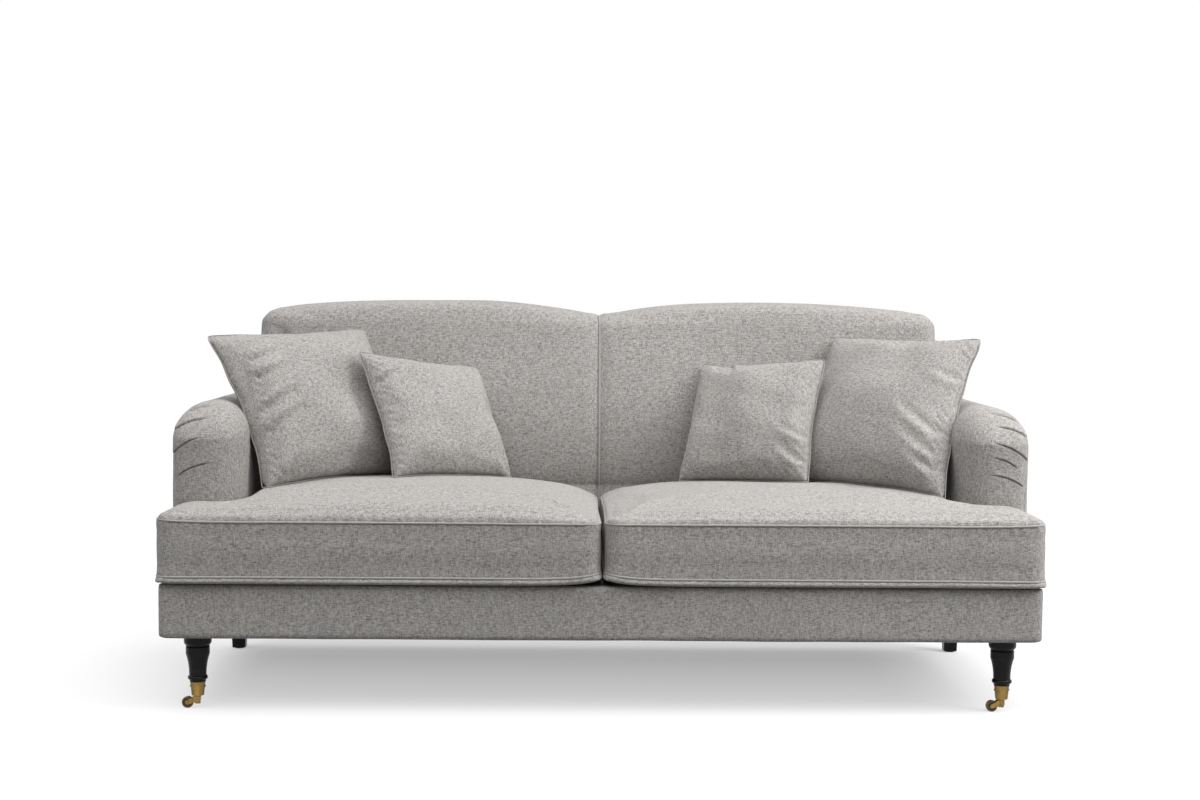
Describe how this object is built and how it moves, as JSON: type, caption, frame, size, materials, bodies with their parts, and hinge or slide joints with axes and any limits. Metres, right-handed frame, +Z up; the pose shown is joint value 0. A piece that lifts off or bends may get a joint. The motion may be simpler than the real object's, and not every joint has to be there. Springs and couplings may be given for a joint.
{
  "type": "three-seater sofa",
  "caption": "Roll-arm sofa for three in heathered grey cloth: humped split back, T-shaped loose seat cushions, scatter cushions, turned black front legs on brass castors.",
  "frame": {"origin": "on the floor under the middle of the sofa's box", "axes": "+Z up, -Y the way a sitter faces, +X to the viewer's right from in front"},
  "size_m": [1.95, 0.8494, 0.9031],
  "materials": {
    "upholstery": "heathered grey woven cloth",
    "piping": "self piping in the same grey cloth",
    "foam": "wrapped seat foam",
    "cushion_fill": "fibre-filled pad",
    "hardwood": "sawn beech",
    "black_lacquer": "black satin lacquer",
    "brass": "polished brass",
    "spring_steel": "drawn wire",
    "webbing": "elastic webbing",
    "dust_cloth": "black cambric",
    "deck_cloth": "plain grey deck cloth",
    "glide": "moulded glide",
    "zip_tape": "woven zip tape"
  },
  "bodies": {
    "sofa_frame": {"arm_posts": "hardwood", "arm_rails": "hardwood", "back_centre_post": "hardwood", "back_lower_rail": "hardwood", "back_piping": "piping", "back_posts": "hardwood", "back_top_rail": "hardwood", "back_webbing": "webbing", "centre_brace": "hardwood", "corner_blocks": "hardwood", "cup_screws": "brass", "dust_cover": "dust_cloth", "frame_dowels": "hardwood", "front_border": "upholstery", "front_rail": "hardwood", "left_arm_pad": "upholstery", "left_back_pad": "upholstery", "left_castor_cup": "brass", "left_front_leg": "black_lacquer", "left_outer_side_panel": "upholstery", "left_rear_leg": "black_lacquer", "leg_bolts": "spring_steel", "leg_plates": "spring_steel", "outer_back_panel": "upholstery", "rear_leg_glides": "glide", "rear_rail": "hardwood", "right_arm_pad": "upholstery", "right_back_pad": "upholstery", "right_castor_cup": "brass", "right_front_leg": "black_lacquer", "right_outer_side_panel": "upholstery", "right_rear_leg": "black_lacquer", "seat_deck": "deck_cloth", "seat_springs": "spring_steel", "side_rails": "hardwood", "spring_clips": "spring_steel"},
    "left_castor": {"left_castor_fork": "brass", "left_castor_axle": "brass"},
    "left_wheel": {"left_castor_wheel": "brass"},
    "left_seat": {"left_seat_cover": "upholstery", "left_seat_core": "foam", "left_seat_piping": "piping", "left_seat_zip": "zip_tape"},
    "left_slider": {"left_zip_slider": "brass"},
    "left_large_cushion": {"left_large_cushion_cover": "upholstery", "left_large_cushion_fill": "cushion_fill"},
    "left_small_cushion": {"left_small_cushion_cover": "upholstery", "left_small_cushion_fill": "cushion_fill"},
    "right_castor": {"right_castor_fork": "brass", "right_castor_axle": "brass"},
    "right_wheel": {"right_castor_wheel": "brass"},
    "right_seat": {"right_seat_cover": "upholstery", "right_seat_core": "foam", "right_seat_piping": "piping", "right_seat_zip": "zip_tape"},
    "right_slider": {"right_zip_slider": "brass"},
    "right_large_cushion": {"right_large_cushion_cover": "upholstery", "right_large_cushion_fill": "cushion_fill"},
    "right_small_cushion": {"right_small_cushion_cover": "upholstery", "right_small_cushion_fill": "cushion_fill"}
  },
  "joints": [
    {"name": "left_castor_swivel", "type": "hinge", "parent": "sofa_frame", "child": "left_castor", "pos_m": [-0.891, -0.35, 0.028], "axis": [0, 0, 1], "continuous": true},
    {"name": "left_wheel_spin", "type": "hinge", "parent": "left_castor", "child": "left_wheel", "pos_m": [-0.913, -0.35, 0.0127], "axis": [0, 1, 0], "continuous": true},
    {"name": "left_seat_lift", "type": "slide", "parent": "sofa_frame", "child": "left_seat", "axis": [0, 0, 1], "range_m": [0, 0.6]},
    {"name": "left_zip_run", "type": "slide", "parent": "left_seat", "child": "left_slider", "axis": [1, 0, 0], "range_m": [0, 0.498]},
    {"name": "left_large_cushion_lift", "type": "slide", "parent": "left_seat", "child": "left_large_cushion", "axis": [0, 0, 1], "range_m": [0, 0.5]},
    {"name": "left_small_cushion_lift", "type": "slide", "parent": "left_large_cushion", "child": "left_small_cushion", "axis": [0, 0, 1], "range_m": [0, 0.5]},
    {"name": "right_castor_swivel", "type": "hinge", "parent": "sofa_frame", "child": "right_castor", "pos_m": [0.891, -0.35, 0.028], "axis": [0, 0, 1], "continuous": true},
    {"name": "right_wheel_spin", "type": "hinge", "parent": "right_castor", "child": "right_wheel", "pos_m": [0.869, -0.35, 0.0127], "axis": [0, 1, 0], "continuous": true},
    {"name": "right_seat_lift", "type": "slide", "parent": "sofa_frame", "child": "right_seat", "axis": [0, 0, 1], "range_m": [0, 0.6]},
    {"name": "right_zip_run", "type": "slide", "parent": "right_seat", "child": "right_slider", "axis": [-1, 0, 0], "range_m": [0, 0.498]},
    {"name": "right_large_cushion_lift", "type": "slide", "parent": "right_seat", "child": "right_large_cushion", "axis": [0, 0, 1], "range_m": [0, 0.5]},
    {"name": "right_small_cushion_lift", "type": "slide", "parent": "right_large_cushion", "child": "right_small_cushion", "axis": [0, 0, 1], "range_m": [0, 0.5]}
  ]
}
